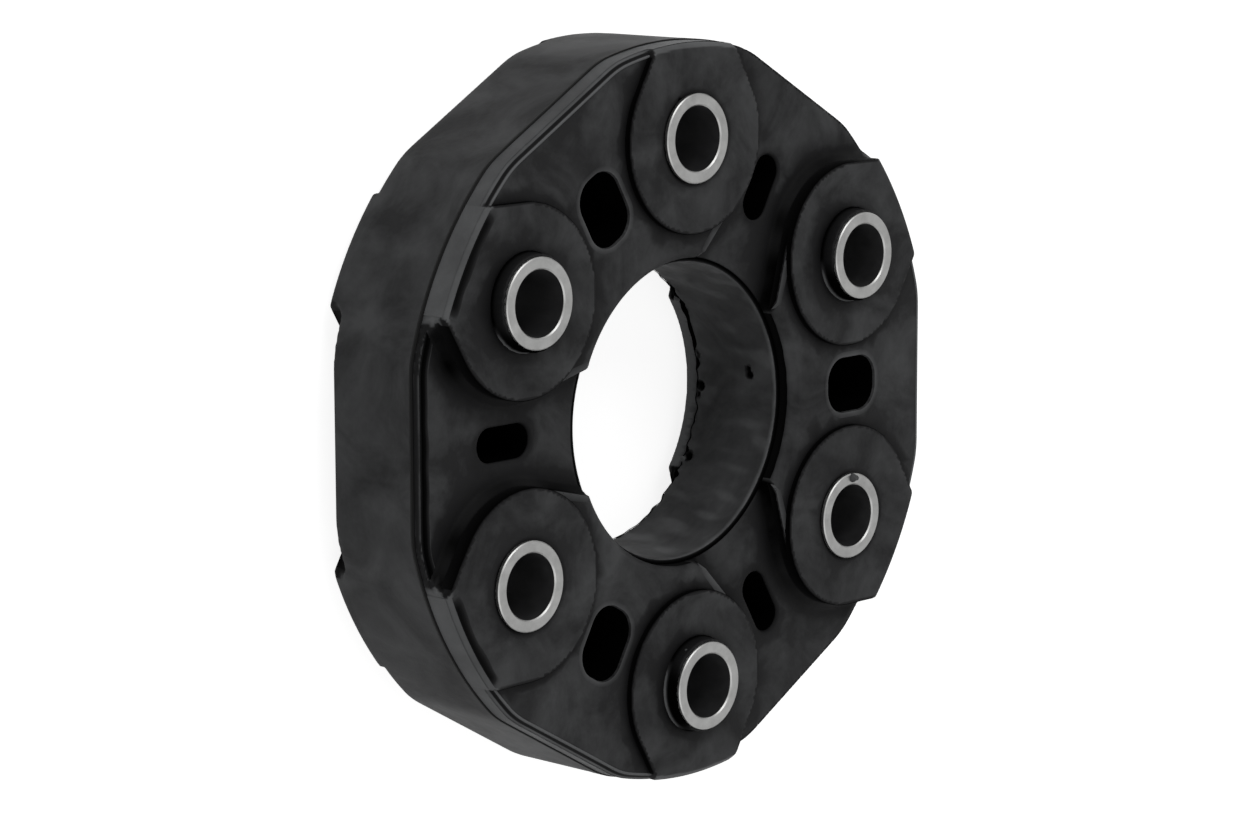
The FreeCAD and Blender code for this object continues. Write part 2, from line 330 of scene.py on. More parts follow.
def rubber_field(x, y, z, size):
    """Distance from the moulded skin in millimetres, below zero in the rubber.

    Each piece of the body is the larger of its plan's distance and its height's. Pieces are joined
    by the smaller of their distances and cut away by the larger of one and the other's negative.
    """
    plan = plan_distances(x, y, size)
    height = np.abs(z)
    edge = size["edge_round"]
    wall = plan["rim"] + size["parting_step"] * (z > 0)

    def block(outline, top):
        """Upright block, bevelled where its top meets the rim's wall."""
        return smooth_max(outline, bevel_max(height - top, wall, size["rim_bevel"], edge / 2), edge)

    slab = height - size["thin_height"]
    body = bevel_min(slab, block(plan["link"], size["thick_height"]), size["pocket_foot"], edge / 2)
    body = np.minimum(body, block(plan["pad"], PAD_TOP))
    band = np.maximum(plan["rim"], z - size["parting_height"])
    body = smooth_max(body, np.minimum(band, wall), edge / 2)

    angle = np.arctan2(y, x)
    land = size["bore_land"] + LAND_WAVER * ragged(angle, 3) * np.where(z < 0, 1.0, 0.15)
    body = smooth_max(body, plan["bore"], size["mouth_round"] * 0.6)
    end_bevel = plan["bore"] + size["bore_step"] + z - size["thick_height"] + size["bore_bevel"]
    body = smooth_max(body, end_bevel * math.sqrt(0.5), edge)
    body = smooth_max(body, -smooth_max(-plan["bore"] - size["bore_step"], land - height, edge), edge)
    body = smooth_max(body, -plan["slot"], size["mouth_round"])

    reach = size["relief_radius"] - SLEEVE_OUTER
    relief = smooth_max(plan["sleeve"] - reach, PAD_TOP - size["relief_depth"] - height, edge)
    body = smooth_max(body, -relief, edge)
    for pit in PITS:
        body = smooth_max(body, -ball_distance(x, y, z, pit), edge)
    body = np.maximum(body, -SLEEVE_SINK - plan["sleeve"])
    for lump in FLASH_LUMPS:
        body = smooth_min(body, ball_distance(x, y, z, lump), edge)
    return body


def ball_distance(x, y, z, ball):
    """Distance from a ball, given by its centre and radius."""
    return np.sqrt((x - ball[0]) ** 2 + (y - ball[1]) ** 2 + (z - ball[2]) ** 2) - ball[3]


def slopes(points, field, nudge=0.02):
    """The field's slope at points, from its values a nudge to either side along each axis."""
    x, y, z = points.T
    return np.stack([
        field(x + nudge, y, z) - field(x - nudge, y, z),
        field(x, y + nudge, z) - field(x, y - nudge, z),
        field(x, y, z + nudge) - field(x, y, z - nudge),
    ], axis=1) / (2 * nudge)


def directions(points, field):
    """Unit normals of the skin at points."""
    slope = slopes(points, field)
    return slope / np.maximum(np.linalg.norm(slope, axis=1), 1e-6)[:, None]


def sum_by(owner, values):
    """Sums of the columns of values over equal owners."""
    return np.stack([np.bincount(owner, weights=column) for column in values.T], axis=1)


def net_surface(field, low, high, step, pull=0.08):
    """Skin of a field where it crosses zero, as vertices and four-sided faces.

    Each grid edge that the skin crosses gives a point and a normal, and a face between the four
    cells round that edge, turned to face out of the body. A cell's vertex is the point nearest to
    all the planes through its points, in least squares, with a small pull to their mean.
    """
    axes = [np.arange(a, b + step, step) for a, b in zip(low, high)]
    values = field(axes[0][:, None, None], axes[1][None, :, None], axes[2][None, None, :])
    values = values.astype(np.float32)
    cells = np.array(values.shape) - 1
    points, corners = [], []
    for axis in range(3):
        first, second = [slice(None)] * 3, [slice(None)] * 3
        first[axis], second[axis] = slice(0, -1), slice(1, None)
        a, b = values[tuple(first)], values[tuple(second)]
        crossed = (a < 0) != (b < 0)
        where = np.argwhere(crossed)
        point = where.astype(float)
        point[:, axis] += a[crossed] / (a[crossed] - b[crossed])
        across = (axis + 1) % 3, (axis + 2) % 3
        ring = []
        for back in ((0, 0), (1, 0), (1, 1), (0, 1)):
            cell = where.copy()
            cell[:, across[0]] -= back[0]
            cell[:, across[1]] -= back[1]
            ring.append(np.ravel_multi_index(tuple(cell.T), cells))
        ring = np.stack(ring, axis=1)
        leaves = a[crossed] > 0
        ring[leaves] = ring[leaves][:, ::-1]
        points.append(point * step + np.array(low))
        corners.append(ring)
    points, corners = np.concatenate(points), np.concatenate(corners)
    _, faces = np.unique(corners, return_inverse=True)
    faces = faces.reshape(corners.shape)
    owner = faces.ravel()
    normal = np.repeat(directions(points, field), 4, axis=0)
    points = np.repeat(points, 4, axis=0)
    middle = sum_by(owner, points) / np.bincount(owner)[:, None]
    off = ((points - middle[owner]) * normal).sum(axis=1)
    matrix = sum_by(owner, (normal[:, :, None] * normal[:, None, :]).reshape(-1, 9)).reshape(-1, 3, 3)
    right = sum_by(owner, normal * off[:, None])
    shift = np.linalg.solve(matrix + pull * np.eye(3), right[:, :, None])[:, :, 0]
    return middle + np.clip(shift, -0.7 * step, 0.7 * step), faces


def settle(points, field, rounds=2):
    """Moves points on to the skin: each round steps along the field's slope by field over slope."""
    for _ in range(rounds):
        slope = slopes(points, field)
        steep = np.maximum((slope ** 2).sum(axis=1), 0.25)
        points = points - slope * (np.clip(field(*points.T), -0.2, 0.2) / steep)[:, None]
    return points


def fade(value, start, end):
    """0 at start and 1 at end, with a smooth run between."""
    t = np.clip((value - start) / (end - start), 0, 1)
    return t * t * (3 - 2 * t)


def ripple(points, wavelength, seed, waves=24):
    """Uneven height in -1 to 1: the mean of plane waves of about that length in all directions."""
    rng = np.random.default_rng(seed)
    direction = rng.normal(size=(waves, 3))
    direction /= np.linalg.norm(direction, axis=1)[:, None]
    wave = direction * (2 * math.pi / (wavelength * rng.uniform(0.7, 1.5, (waves, 1))))
    return np.sin(points @ wave.T + rng.uniform(0, 2 * math.pi, waves)).mean(axis=1) * 3


def make_mesh(name, vertices, faces, smooth=True):
    """Mesh object at the origin from vertices in millimetres."""
    mesh = bpy.data.meshes.new(name)
    mesh.vertices.add(len(vertices))
    mesh.vertices.foreach_set("co", (np.asarray(vertices) * MM).astype(np.float32).ravel())
    corners = faces.shape[1]
    mesh.loops.add(faces.size)
    mesh.loops.foreach_set("vertex_index", faces.ravel().astype(np.int32))
    mesh.polygons.add(len(faces))
    mesh.polygons.foreach_set("loop_start", np.arange(0, faces.size, corners, dtype=np.int32))
    mesh.update(calc_edges=True)
    mesh.validate()
    mesh.polygons.foreach_set("use_smooth", np.full(len(mesh.polygons), smooth))
    piece = bpy.data.objects.new(name, mesh)
    bpy.context.scene.collection.objects.link(piece)
    return piece


def grid_faces(rows, columns, wrap_rows=False, wrap_columns=False):
    """Four-sided faces of a grid of rows by columns points, closed on itself where it wraps."""
    i = np.arange(rows if wrap_rows else rows - 1)[:, None]
    j = np.arange(columns if wrap_columns else columns - 1)[None, :]
    a = (i * columns + j).ravel()
    b = (((i + 1) % rows) * columns + j).ravel()
    c = (((i + 1) % rows) * columns + (j + 1) % columns).ravel()
    d = (i * columns + (j + 1) % columns).ravel()
    return np.stack([a, b, c, d], axis=1)


def placed(x, y, z):
    """Points in rows, from coordinates that are spread over each other."""
    return np.stack(np.broadcast_arrays(x, y, z), axis=-1).reshape(-1, 3)


def wheeled(radius, turn, z):
    """Points at radii and angles round the disc's axis."""
    return placed(radius * np.cos(turn), radius * np.sin(turn), z)


def facing(faces, back):
    """Faces turned over where they look back."""
    return faces[:, ::-1] if back else faces


def set_shade(mesh, shade):
    """Stores the shade of a mesh's points for the rubber's material."""
    attribute = mesh.attributes.new(SHADE, "FLOAT", "POINT")
    attribute.data.foreach_set("value", shade.astype(np.float32))


def finished(piece, slot, *materials, node=None):
    """Gives a piece its materials, hides the node that it replaces and hangs it on the body it rides
    on; its slot is not used.
    """
    for material in materials:
        piece.data.materials.append(material)
    if node:
        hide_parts(node)
    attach(piece, "root")


def millimetres(group):
    """A property group's lengths by name, in millimetres."""
    return {key: getattr(group, key) / MM for key in group.__annotations__
            if isinstance(getattr(group, key), float)}


def add_node(tree, kind, settings=None, links=None):
    """Adds a node. Settings are inputs or properties by name, links are sockets by input."""
    node = tree.nodes.new(kind)
    for name, value in (settings or {}).items():
        if isinstance(name, int) or name in node.inputs:
            node.inputs[name].default_value = value
        else:
            setattr(node, name, value)
    for name, socket in (links or {}).items():
        tree.links.new(socket, node.inputs[name])
    return node


def new_material(name, values):
    """Material with those values on its shader, its tree, its shader and the Object coordinates."""
    material = bpy.data.materials.new(name)
    material.use_nodes = True
    tree = material.node_tree
    shader = tree.nodes["Principled BSDF"]
    for socket, value in values.items():
        shader.inputs[socket].default_value = value
    place = add_node(tree, "ShaderNodeTexCoord").outputs["Object"]
    return material, tree, shader, place


def drive(tree, shader, sockets):
    """Links sockets to the shader's inputs by name."""
    for name, socket in sockets.items():
        tree.links.new(socket, shader.inputs[name])


def noise(tree, place, across, detail, roughness, distortion=0.0):
    """Noise in space whose blotches are about that many millimetres across."""
    return add_node(tree, "ShaderNodeTexNoise",
                    {"Scale": 1 / (across * MM), "Detail": detail, "Roughness": roughness,
                     "Distortion": distortion}, {"Vector": place}).outputs["Fac"]


def mapped(tree, value, low, high, start=0.0, end=1.0):
    """Runs from low to high where the value runs from start to end."""
    return add_node(tree, "ShaderNodeMapRange",
                    {"From Min": start, "From Max": end, "To Min": low, "To Max": high},
                    {"Value": value}).outputs[0]


def rubber_material(finish):
    """Natural rubber from a steel mould.

    It looks near black and half matt. Large blotches rubbed pale and dusty, with fine specks in
    them, keep it from looking like plastic, and a fine grain breaks up its sheen. The shade attribute
    paints shade, black and without sheen, and below zero paints light, pale as the worn rubber.
    """
    material, tree, shader, place = new_material("moulded rubber", {})
    speck = noise(tree, place, across=2.5, detail=4.0, roughness=0.6)
    blotch = noise(tree, place, across=14, detail=5.0, roughness=0.55, distortion=0.6)
    mix = add_node(tree, "ShaderNodeMath", {"operation": "MULTIPLY_ADD", 1: 0.25},
                   {0: speck, 2: blotch})
    worn = mapped(tree, mix.outputs[0], 0.0, 0.42, start=0.48, end=0.84)
    shade = add_node(tree, "ShaderNodeAttribute", {"attribute_name": SHADE}).outputs["Fac"]
    # Below zero the shade attribute paints light: the colour runs to the worn tone
    wear_and_painted_light = add_node(tree, "ShaderNodeMath", {"operation": "SUBTRACT", "use_clamp": True},
                     {0: worn, 1: shade})
    tint = add_node(tree, "ShaderNodeMix", {"data_type": "RGBA", 6: (*finish.rubber, 1),
                                            7: (*finish.rubber_worn_and_lit, 1)}, {0: wear_and_painted_light.outputs[0]})
    # Painted shade: the shade attribute turns the colour black
    with_painted_shade = add_node(tree, "ShaderNodeMix", {"data_type": "RGBA", 7: (*finish.rubber_painted_shade, 1)},
                    {0: shade, 6: tint.outputs[2]})
    grain = noise(tree, place, across=0.7, detail=3.0, roughness=0.6)
    bump = add_node(tree, "ShaderNodeBump", {"Strength": 0.3, "Distance": 0.0001}, {"Height": grain})
    drive(tree, shader, {
        "Base Color": with_painted_shade.outputs[2],
        "Roughness": mapped(tree, speck, 0.5, 0.72),
        "Normal": bump.outputs[0],
        # painted shade also takes the sheen away
        "Specular IOR Level": mapped(tree, shade, 0.12, 0.0),
    })
    return material


def steel_material(name, tone, roughness, scatter):
    """Plain carbon steel.

    It looks like grey metal whose shine is uneven: stains of some millimetres make it lighter and
    darker, and smoother and rougher, so that no end face is one flat tone.
    """
    material, tree, shader, place = new_material(name, {"Metallic": 1.0})
    stain = noise(tree, place, across=3.0, detail=5.0, roughness=0.65)
    tint = add_node(tree, "ShaderNodeVectorMath", {"operation": "SCALE", 0: tuple(tone)},
                    {"Scale": mapped(tree, stain, 1 - scatter, 1 + scatter)})
    drive(tree, shader, {"Base Color": tint.outputs[0],
                         "Roughness": mapped(tree, stain, roughness - 0.12, roughness + 0.12)})
    return material


def plain_material(name, tone, roughness, sheen=0.5):
    """One colour, for sheets of painted shade, for thin beads of flash and for what is sealed inside.
    """
    values = {"Base Color": (*tone, 1), "Roughness": roughness, "Specular IOR Level": sheen}
    return new_material(name, values)[0]


def bore_wrinkles(points, size):
    """Height of the creases on the bore's wall: ripples drawn out along the axis, and finer ones."""
    bore = plan_distances(points[:, 0], points[:, 1], size)["bore"]
    height, land = np.abs(points[:, 2]), size["bore_land"]
    on_wall = fade(np.abs(bore), 0.6, 0.2) * fade(height, land, land - 1.5)
    long_creases = ripple(points * (1.0, 1.0, 0.35), 5.0, 11)
    return on_wall * (0.2 * long_creases + 0.035 * ripple(points, 2.0, 12))


def shade_of(points, normals, size):
    """How much painted shade the rubber gets, 0 to 1, or how pale it is painted, 0 to -1.

    Painted shade rises on a pocket's floor towards its walls, beside the pads, round slots and sleeves
    and in pits.
    The rim above the mould line and the bore's lips get painted light; smears on the bore's wall are
    wear.
    """
    x, y, z = points.T
    plan = plan_distances(x, y, size)
    link, pad, bore = plan["link"], plan["pad"], plan["bore"]
    height = np.abs(z)
    floor, top, land = size["thin_height"], size["thick_height"], size["bore_land"]

    def near(distance, reach):
        """1 up to an outline, falling off outside it."""
        return np.exp(-np.maximum(distance, 0) / reach)

    # Where a point lies as seen from the nearest sleeve
    middle = np.radians(STEP_ANGLE * (np.floor(np.degrees(np.arctan2(y, x)) / STEP_ANGLE) + 0.5))
    from_x, from_y = x - BOLT_RADIUS * np.cos(middle), y - BOLT_RADIUS * np.sin(middle)
    from_sleeve = np.maximum(np.hypot(from_x, from_y), 1)
    left = fade(-from_x / from_sleeve, -0.2, 0.8)
    below = fade(-from_y / from_sleeve, 0.4, 0.9)
    above = fade(from_y / from_sleeve, 0.3, 0.9)

    foot = size["pocket_foot"]
    in_pocket = fade(height, floor + foot + 1.6, floor + foot + 0.5)
    in_pocket = in_pocket * fade(height, floor - 2.4, floor - 1.4) * fade(link, -0.6, -0.2)
    in_pocket = in_pocket * fade(plan["rim"], -0.4, -1.8) * fade(bore, -0.2, -0.7)
    by_wall = WALL_SHADE - BELOW_WALL * below - ABOVE_WALL * above
    by_wall = by_wall * near(link - foot * 0.7, WALL_REACH) * in_pocket
    on_link = fade(height, top - 1.2, top - 0.2)
    by_pad = PAD_SHADE * near(pad, PAD_REACH) * fade(pad, -0.3, 0.0) * on_link
    by_slot = SLOT_SHADE * near(plan["slot"], SLOT_REACH) * fade(height, floor + 1.6, floor + 1.1)
    stands = np.sin(SLEEVE_COUNT / 2 * np.arctan2(y, x)) * np.sign(z) > 0
    reach = np.where(stands, STANDING_REACH, SUNK_REACH)
    by_sleeve = (SLEEVE_SHADE + SHADE_LEFT * left) * near(plan["sleeve"], reach)
    uneven = 1.0 + 0.3 * ripple(points, 9.0, 21)
    shade = np.maximum.reduce([by_wall, by_pad, by_slot, by_sleeve]) * uneven
    for pit in PITS:
        shade = np.maximum(shade, fade(ball_distance(x, y, z, pit), 0.35, 0.0))
    lump = np.max([fade(ball_distance(x, y, z, ball), 0.3, -0.05) for ball in FLASH_LUMPS], axis=0)
    shade = shade * (1 - lump)

    # Painted light on the rim's wall above the mould line over pads and thick links, painted shade on
    # it over the pockets
    line = size["parting_height"]
    shoulder = fade(plan["rim"], -1.6, -1.1) * fade(z, line + 0.1, line + 0.6)
    shoulder = shoulder * fade(1 - np.abs(normals[:, 2]), 0.1, 0.25)
    over_pocket = fade(link, 0.3, 1.5)
    shade = np.maximum(shade, LIP_SHADE * shoulder * over_pocket)
    # Painted highlight on the bore's front lip and painted light on the strip behind its rear edge; the
    # smears on the bore's wall are wear
    front_lip = fade(z, land - 0.8, land - 0.2) * fade(z, land + 0.5, land)
    front_lip = front_lip * fade(np.abs(bore), 0.5, 0.1)
    rear_end = fade(bore, -0.5, -0.8) * fade(bore, -1.4, -1.1) * fade(z, -land - 0.5, -land - 0.9)
    smears = fade(bore, -0.5, -0.1) * fade(ripple(points * (1.0, 1.0, 0.5), 4.0, 31), 0.0, 1.0)
    pale = np.maximum.reduce([SHOULDER_LIGHT * shoulder * (1 - over_pocket), LIP_HIGHLIGHT * front_lip,
                              rear_end, SMEAR_WEAR * smears, LUMP_WEAR * lump])
    return np.clip(shade, 0, 1) - pale * (shade < 0.3)


def thinned(piece, limit):
    """Collapses a mesh to a number of triangles, where it is flattest first."""
    collapse = piece.modifiers.new("Thinning", "DECIMATE")
    collapse.ratio = min(1.0, limit / (2 * len(piece.data.polygons)))
    graph = bpy.context.evaluated_depsgraph_get()
    mesh = bpy.data.meshes.new_from_object(piece.evaluated_get(graph))
    piece.modifiers.clear()
    piece.data = mesh


class FLEXDISC_OT_rubber_body(bpy.types.Operator):
    """Makes the moulded rubber disc with its rounded edges, lips and wear, and its painted shade and
    light
    """

    bl_idname = "flexdisc.rubber_body"
    bl_label = "Rubber body"

    def execute(self, context):
        scene = context.scene
        size = millimetres(scene.flex_rubber)

        def field(x, y, z):
            return rubber_field(x, y, z, size)

        step = size["grid_step"] * 1
        reach = np.array([RIM_ARC, RIM_ARC, STANDING_END]) + 2 * step
        points, faces = net_surface(field, -reach, reach, step)
        points = settle(points, field)
        points = points + directions(points, field) * bore_wrinkles(points, size)[:, None]
        body = make_mesh("rubber_skin", points, faces)
        thinned(body, scene.flex_rubber.triangle_limit)
        mesh = body.data
        points = np.zeros(3 * len(mesh.vertices))
        mesh.vertices.foreach_get("co", points)
        points = points.reshape(-1, 3) / MM
        # Painted shade and painted light, with some wear, kept in the shade attribute
        set_shade(mesh, shade_of(points, directions(points, field), size))
        mesh.polygons.foreach_set("use_smooth", np.ones(len(mesh.polygons), bool))
        mesh.set_sharp_from_angle(angle=SHARP_RUBBER)
        finished(body, "rubber", rubber_material(scene.flex_finish), node="rubber_body")
        return {"FINISHED"}


def rim_radius(angle, rounds=30):
    """Radius of the rim's outline at each angle, found by halving the span that it lies in."""
    near, far = np.full_like(angle, RIM_FLAT - 4), np.full_like(angle, RIM_ARC + 1)
    for _ in range(rounds):
        middle = (near + far) / 2
        radius, fx, fy = folded(middle * np.cos(angle), middle * np.sin(angle))
        outside = rim_distance(radius, fx, turned(fx, fy, STEP_ANGLE)[0]) > 0
        near, far = np.where(outside, near, middle), np.where(outside, middle, far)
    return near


def joined(patches):
    """One set of vertices and faces from several."""
    starts = np.cumsum([0] + [len(points) for points, _ in patches])
    return (np.concatenate([points for points, _ in patches]),
            np.concatenate([faces + start for (_, faces), start in zip(patches, starts)]))


def both_sides(patch):
    """A patch and its mirror image at the rear."""
    points, faces = patch
    return joined([(points, faces), (points * (1, 1, -1), faces[:, ::-1])])


def curtain(x, y, low, high, closed=False, flip=False):
    """Upright strip of wall along a line in plan: two points for each place, the lower one first.

    It faces to the right of the line, or to the left where it is flipped.
    """
    z = np.stack([np.broadcast_to(low, x.shape), np.broadcast_to(high, x.shape)], axis=1)
    return placed(x[:, None], y[:, None], z), facing(grid_faces(len(x), 2, wrap_rows=closed), flip)


def round_sleeve(number, bearing, radius):
    """Plan points at bearings and radii round a sleeve, bearings counted from straight outwards."""
    turn = math.radians(90.0 - STEP_ANGLE * (number - 1))
    u, v = BOLT_RADIUS + radius * np.cos(bearing), radius * np.sin(bearing)
    return u * math.cos(turn) - v * math.sin(turn), u * math.sin(turn) + v * math.cos(turn)


def pad_wall(size, number):
    """Sheet of painted shade over the wall round a pad, from rim to rim, ending below the pad's
    bevelled edge.
    """
    start, outer = flank_bearings(size)[0]
    bearing = np.linspace(start, 2 * math.pi - start, 400)
    side = np.minimum(bearing, 2 * math.pi - bearing)
    radius = (size["pad_radius"] + size["lining_gap"]) / np.cos(np.maximum(outer - side, 0))
    x, y = round_sleeve(number, bearing, radius)
    wall = plan_distances(x, y, size)["rim"] + size["parting_step"]
    inside = wall < -1.2
    x, y, wall = x[inside], y[inside], wall[inside]
    top = PAD_TOP - np.maximum(wall + size["rim_bevel"], 0) - size["lining_edge"]
    return curtain(x, y, size["thin_height"] + size["pocket_foot"] - FOOT_OVERLAP, top)


def link_flank(size, number, overlap, short, radius, insets):
    """Lines along a thick link's wall over a pocket, from the pad's circle to the bore.

    Each stands its own inset inside that radius. Gives x, y, the depth of the bevel at the link's
    end, and whether the wall looks back along the line.
    """
    end, inner = flank_bearings(size)[1]
    bearing = np.linspace(inner - overlap, end - short, 60)[:, None]
    out = radius / np.cos(np.maximum(bearing - inner, 0)) - insets
    side = 1 if number % 2 == 0 else -1
    x, y = round_sleeve(number, side * bearing, out)
    from_end = np.hypot(x, y) - size["bore_radius"] - size["bore_step"]
    return x, y, np.maximum(size["bore_bevel"] - from_end, 0), side < 0


def link_wall(size, number):
    """Sheet of painted shade on a thick link's wall over a pocket."""
    radius = size["pad_radius"] + size["lining_gap"]
    x, y, depth, back = link_flank(size, number, 0.1, 0.02, radius, np.zeros(1))
    top = size["thick_height"] - depth.ravel() - size["lining_edge"]
    low = size["thin_height"] + size["pocket_foot"] - FOOT_OVERLAP
    return curtain(x.ravel(), y.ravel(), low, np.maximum(top, low), flip=back)


def link_edge(size, number):
    """Painted highlight and wear along a thick link's face, at its edge over the pocket: three points
    across.
    """
    insets = np.array([0.15, 0.7, 1.7])
    x, y, depth, back = link_flank(size, number, 0.0, 0.04, size["pad_radius"], insets)
    z = size["thick_height"] + EDGE_LIFT - depth
    return placed(x, y, z), facing(grid_faces(*x.shape), back)


def slot_outline(size, number, kind, outset):
    """Plan points round a slot, at distances outside its wall."""
    half_length, half_width, corner = slot_core(size, kind)
    turn = np.linspace(0, 2 * math.pi, 160, endpoint=False)[:, None]
    along = np.sign(np.cos(turn)) * half_length + (corner + outset) * np.cos(turn)
    across = np.sign(np.sin(turn)) * half_width + (corner + outset) * np.sin(turn)
    return turned(size["slot_radius"] + along, across, -STEP_ANGLE * number)


def slot_edge(size, number):
    """Painted highlight and wear round the mouth of a wide slot: three points across it."""
    x, y = slot_outline(size, number, "wide", np.array([0.2, 0.55, 1.2]))
    faces = grid_faces(*x.shape, wrap_rows=True)[:, ::-1]
    return placed(x, y, size["thick_height"] + EDGE_LIFT), faces


def slot_wall(size, number, kind, height):
    """Black sheet of painted shade lining a slot from mouth to mouth."""
    x, y = slot_outline(size, number, kind, -size["lining_gap"])
    reach = height - size["mouth_round"] * 0.8
    return curtain(x.ravel(), y.ravel(), -reach, reach, closed=True, flip=True)


def link_end(size, number):
    """Sheet of painted shade on the lower part of a thick link's end above the bore."""
    radius = size["bore_radius"] + size["bore_step"] - size["lining_gap"]
    reach = math.radians(STEP_ANGLE / 2) + size["bore_corner"] / size["bore_radius"] * 0.85
    turn = math.radians(2 * STEP_ANGLE * number) + np.linspace(-reach, reach, 120)
    low = size["bore_land"] - 0.3
    top = size["thick_height"] - size["bore_bevel"] - 0.3 + 0.05 * ragged(turn, 5)
    return curtain(radius * np.cos(turn), radius * np.sin(turn), low, top, flip=True)


def rear_gap_shade(size):
    """Ragged black sheet of painted shade in the gap where the bore's wall ends at the rear, taller at
    the torn place that shows.
    """
    turn = np.linspace(0, 2 * math.pi, 1440, endpoint=False)
    radius = size["bore_radius"] - size["lining_gap"]
    low = -size["bore_land"] - LAND_WAVER * ragged(turn, 3)
    high = low + 0.3 + 0.9 * np.maximum(ragged(turn, 8, 30) - 0.3, 0)
    toward_bearing = fade(np.cos(turn - math.radians(30)), 0.95, 0.98)
    high = high + 0.9 * toward_bearing * (1 + 0.5 * ragged(turn, 9, 30))
    return curtain(radius * np.cos(turn), radius * np.sin(turn), low, high, closed=True, flip=True)


def rim_strip(turn, inset, height, waver=0.0, **wrap):
    """Strip along the rim, with a line of points at each inset and height; the inner ones waver."""
    uneven = ragged(turn, 17, 30)[:, None] * waver * np.linspace(0, 1, len(inset))
    radius = rim_radius(turn)[:, None] - inset - uneven
    return wheeled(radius, turn[:, None], height), grid_faces(*radius.shape, **wrap)


def rim_span(size, middle, over_pad):
    """Angles along the rim over a pad, or over the link between two pads, about a middle in degrees."""
    pad_reach = math.asin(size["pad_corner"] / RIM_ARC)
    reach = pad_reach if over_pad else math.radians(STEP_ANGLE / 2) - pad_reach
    return math.radians(middle) + np.linspace(-reach, reach, 120)


def thick_spans(size):
    """Angles along the rim over each thick link."""
    return [rim_span(size, 2 * STEP_ANGLE * link, False) for link in range(SLEEVE_COUNT // 2)]


def shade_lines(size):
    """Strips of painted shade, each with the shade of its four lines of points.

    One runs in the pocket and two in the creases inside the pads' bevels that the photograph shows,
    one along each bead of flash, and one in the corner behind the bore's edge.
    """
    step, bevel, crease = size["parting_step"], size["rim_bevel"], size["crease_width"]
    inset = step + size["lip_width"] + size["dirt_width"] * np.array([0, 0.25, 0.6, 1.0])
    pocket = rim_strip(rim_span(size, 180, False), inset, size["thin_height"] + 0.03, 0.2)
    strips = [(pocket, (0.6, 1.0, 0.9, 0.0))]
    inset = step + bevel + np.array([-0.25, 0.05, 0.05 + crease / 2, 0.05 + crease])
    level = PAD_TOP + np.array([-0.18, 0.07, 0.07, 0.05])
    for middle in (150, 210):
        turn = rim_span(size, middle, True)
        ends = fade(1 - np.abs(np.linspace(-1, 1, len(turn))), 0, 0.25)[:, None]
        strips.append((rim_strip(turn, inset, level, 0.3), ends * (0.75, 0.85, 0.65, 0.0)))
    across = bevel * np.array([0.35, 0.5, 0.7, 0.85])
    level = size["thick_height"] - bevel + 0.04 + across
    strips += [(rim_strip(turn, step + across, level), (0.0, 0.65, 0.65, 0.0))
               for turn in thick_spans(size)]
    turn = np.linspace(0, 2 * math.pi, 720)[:, None]
    radius = size["bore_radius"] + size["bore_step"] - np.array([0.08, 0.3, 0.65, 0.9])
    level = size["bore_land"] + np.array([0.35, 0.14, 0.06, 0.06])
    ledge = wheeled(radius, turn, level), grid_faces(len(turn), len(radius))
    return strips + [(ledge, (1.0, 1.0, 0.85, 0.0))]


def rim_bands(size):
    """Ribbons over the rim's wall, each with its shade: a plain one below the mould line, and painted
    light above it over the pads and thick links.
    """
    level, step, proud = size["parting_height"], size["parting_step"], -0.8 * RIM_SKIN
    spans = [(np.linspace(0, 2 * math.pi, 1440), proud, level - 2.5, level - 0.2, 0.0)]
    pads = [rim_span(size, STEP_ANGLE * (pad + 0.5), True) for pad in range(SLEEVE_COUNT)]
    for turns, top, tone in ((pads, PAD_TOP, -0.5), (thick_spans(size), size["thick_height"], -0.4)):
        high = top - size["rim_bevel"] - 0.1
        spans += [(turn, step + proud, level + 0.3, high, tone) for turn in turns]
    return [(rim_strip(turn, (inset, inset), (low, high)), (tone,))
            for turn, inset, low, high, tone in spans]


class FLEXDISC_OT_linings(bpy.types.Operator):
    """Lays strips of painted shade over slots, walls, creases and corners, and of painted light and
    wear on rim bands and edges
    """

    bl_idname = "flexdisc.linings"
    bl_label = "Wall linings"

    def execute(self, context):
        scene = context.scene
        size = millimetres(scene.flex_rubber)
        numbers = range(1, SLEEVE_COUNT + 1)
        links = range(SLEEVE_COUNT // 2)
        walls = [both_sides(wall(size, n)) for n in numbers for wall in (pad_wall, link_wall)]
        walls += [link_end(size, n) for n in links]
        strips = [(wall, LINED_WALL) for wall in walls]
        strips += shade_lines(size) + rim_bands(size)
        # Edges get painted highlight and wear
        strips += [(both_sides(link_edge(size, n)), (-0.3, -0.2, 0.0)) for n in numbers]
        strips += [(both_sides(slot_edge(size, 2 * n)), (-0.35, -0.2, 0.0)) for n in links]
        shade = [np.resize(tones, len(points)) for (points, _), tones in strips]
        soft = make_mesh("wall_lining", *joined([strip for strip, _ in strips]))
        set_shade(soft.data, np.concatenate(shade))
        # Slots and the gap behind the bore's rear edge are lined with black sheets of painted shade
        slots = [slot_wall(size, 2 * n, "wide", size["thick_height"]) for n in links]
        slots += [slot_wall(size, 2 * n + 1, "narrow", size["thin_height"]) for n in links]
        slots.append(rear_gap_shade(size))
        black = make_mesh("slot_lining", *joined(slots))
        shaded = plain_material("rubber in deep shade", scene.flex_finish.rubber_painted_shade, 0.9, 0.0)
        finished(soft, "rubber", bpy.data.materials["moulded rubber"])
        finished(black, "rubber", shaded)
        return {"FINISHED"}


